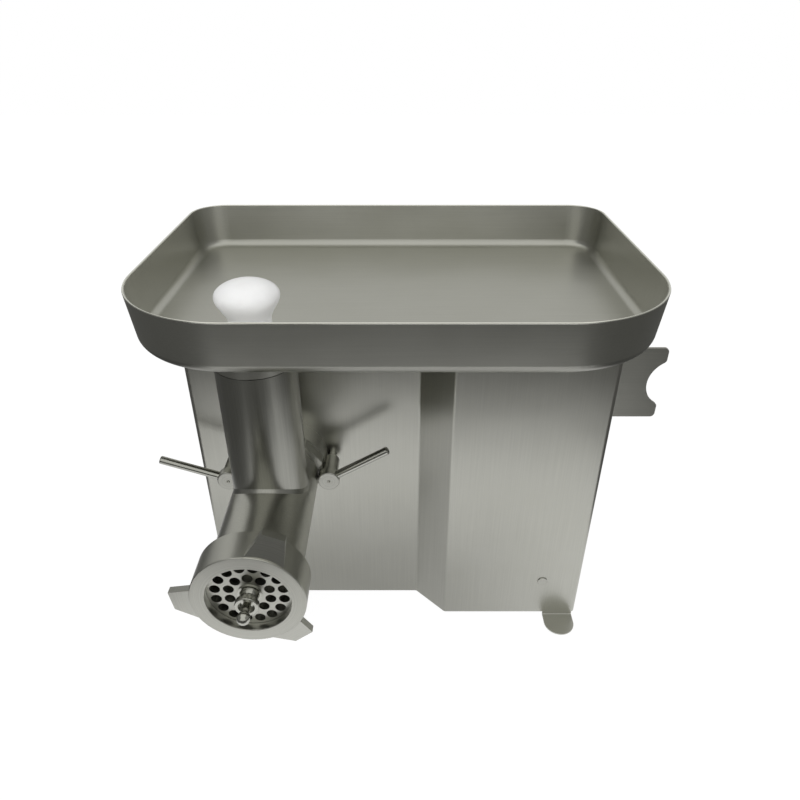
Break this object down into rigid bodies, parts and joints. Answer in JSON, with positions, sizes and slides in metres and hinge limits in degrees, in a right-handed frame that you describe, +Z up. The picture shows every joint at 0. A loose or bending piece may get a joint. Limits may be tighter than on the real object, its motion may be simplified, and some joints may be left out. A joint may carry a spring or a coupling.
{
  "type": "electric meat grinder",
  "caption": "Bench meat grinder: stepped steel housing, tray with pusher, tubular head with worm, knife, plate and winged ring, geared motor inside.",
  "frame": {"origin": "on the bench, on the middle plane of the housing, below its recessed front face", "axes": "+X to the right seen from the front, +Y from the front to the back, +Z up"},
  "size_m": [0.5078, 0.4405, 0.435],
  "materials": {
    "housing_steel": "vertically brushed sheet",
    "bracket_steel": "dull cut sheet",
    "tray_steel": "satin pressed sheet with a bright rim",
    "head_steel": "ground and polished along the tube",
    "ring_steel": "satin casting with a turned face",
    "plate_steel": "ground flat",
    "turned_steel": "turned bar",
    "worm_steel": "cast and ground",
    "fastener_steel": "plain fasteners",
    "gear_steel": "machined and oiled",
    "cast_aluminium": "as cast",
    "core_iron": "stacked laminations",
    "winding_copper": null,
    "pusher_white": "moulded food-grade plastic",
    "washer_nylon": "turned nylon",
    "black_rubber": "moulded",
    "black_plastic": "fine moulded texture",
    "start_green": "moulded",
    "stop_red": "moulded",
    "capacitor_grey": "plain can",
    "strap_steel": "bent strip"
  },
  "bodies": {
    "machine": {"housing_shell": "housing_steel", "top_plate": "housing_steel", "base_plate": "housing_steel", "rear_panel": "housing_steel", "foot_tabs": "housing_steel", "foot_pads": "black_rubber", "case_screws": "fastener_steel", "side_bracket": "bracket_steel", "bracket_screws": "fastener_steel", "cable_gland": "black_plastic", "gland_nut": "black_plastic", "switch_housing": "black_plastic", "head_socket": "head_steel", "socket_screws": "fastener_steel", "mount_studs": "turned_steel", "grinder_head": "head_steel", "feed_tube": "head_steel", "plate_key_pin": "worm_steel", "thrust_washer": "washer_nylon", "output_seal": "black_rubber", "drive_nose": "cast_aluminium", "gearbox_case": "cast_aluminium", "gearbox_cover": "cast_aluminium", "gearbox_bolts": "fastener_steel", "motor_housing": "cast_aluminium", "stator_core": "core_iron", "stator_windings": "winding_copper", "motor_shield": "cast_aluminium", "motor_bolts": "fastener_steel", "fan_cowl": "black_plastic", "run_capacitor": "capacitor_grey", "capacitor_clamp": "strap_steel", "output_bearings": "gear_steel", "layshaft_bearings": "gear_steel", "motor_bearings": "gear_steel"},
    "drive": {"output_shaft": "gear_steel", "output_gear": "gear_steel", "worm": "worm_steel", "worm_stud": "turned_steel", "knife": "worm_steel"},
    "countershaft": {"layshaft": "gear_steel", "layshaft_gear": "gear_steel", "layshaft_pinion": "gear_steel"},
    "rotor": {"rotor_shaft": "gear_steel", "rotor_core": "core_iron", "motor_pinion": "gear_steel", "cooling_fan": "black_plastic"},
    "plate": {"grinder_plate": "plate_steel"},
    "ring": {"ring_nut": "ring_steel"},
    "clamp_left": {"clamp_nut_left": "turned_steel", "clamp_rod_left": "turned_steel"},
    "clamp_right": {"clamp_nut_right": "turned_steel", "clamp_rod_right": "turned_steel"},
    "tray": {"tray": "tray_steel", "tray_collar": "tray_steel"},
    "pusher": {"pusher": "pusher_white"},
    "start_button": {"start_button": "start_green"},
    "stop_button": {"stop_button": "stop_red"}
  },
  "joints": [
    {"name": "worm_spin", "type": "hinge", "parent": "machine", "child": "drive", "pos_m": [-0.1185, 0, 0.2132], "axis": [0, 1, 0], "continuous": true},
    {"name": "layshaft_spin", "type": "hinge", "parent": "machine", "child": "countershaft", "pos_m": [-0.02492, 0.14, 0.20005], "axis": [0, 1, 0], "continuous": true},
    {"name": "motor_spin", "type": "hinge", "parent": "machine", "child": "rotor", "pos_m": [0.05367, 0.07, 0.18045], "axis": [0, 1, 0], "continuous": true},
    {"name": "plate_slide", "type": "slide", "parent": "machine", "child": "plate", "axis": [0, -1, 0], "range_m": [0, 0.008]},
    {"name": "ring_turn", "type": "hinge", "parent": "plate", "child": "ring", "pos_m": [-0.1185, -0.18, 0.2132], "axis": [0, -1, 0], "range_deg": [0, 720]},
    {"name": "left_lever_turn", "type": "hinge", "parent": "machine", "child": "clamp_left", "pos_m": [-0.1687, -0.0403, 0.2132], "axis": [0, -1, 0], "range_deg": [0, 90]},
    {"name": "right_lever_turn", "type": "hinge", "parent": "machine", "child": "clamp_right", "pos_m": [-0.0683, -0.0403, 0.2132], "axis": [0, -1, 0], "range_deg": [0, 75]},
    {"name": "tray_lift", "type": "slide", "parent": "machine", "child": "tray", "axis": [0, 0, 1], "range_m": [0, 0.05]},
    {"name": "pusher_lift", "type": "slide", "parent": "tray", "child": "pusher", "axis": [0, 0, 1], "range_m": [0, 0.105]},
    {"name": "start_button_press", "type": "slide", "parent": "machine", "child": "start_button", "axis": [-1, 0, 0], "range_m": [0, 0.0035], "stiffness_N_per_m": 800},
    {"name": "stop_button_press", "type": "slide", "parent": "machine", "child": "stop_button", "axis": [-1, 0, 0], "range_m": [0, 0.0035], "stiffness_N_per_m": 800}
  ],
  "couplings": [
    {"joint": "layshaft_spin", "follows": "worm_spin", "ratio": -2.5},
    {"joint": "motor_spin", "follows": "worm_spin", "ratio": 8.75},
    {"joint": "plate_slide", "follows": "ring_turn", "m_per_rad": 0.0006366}
  ]
}
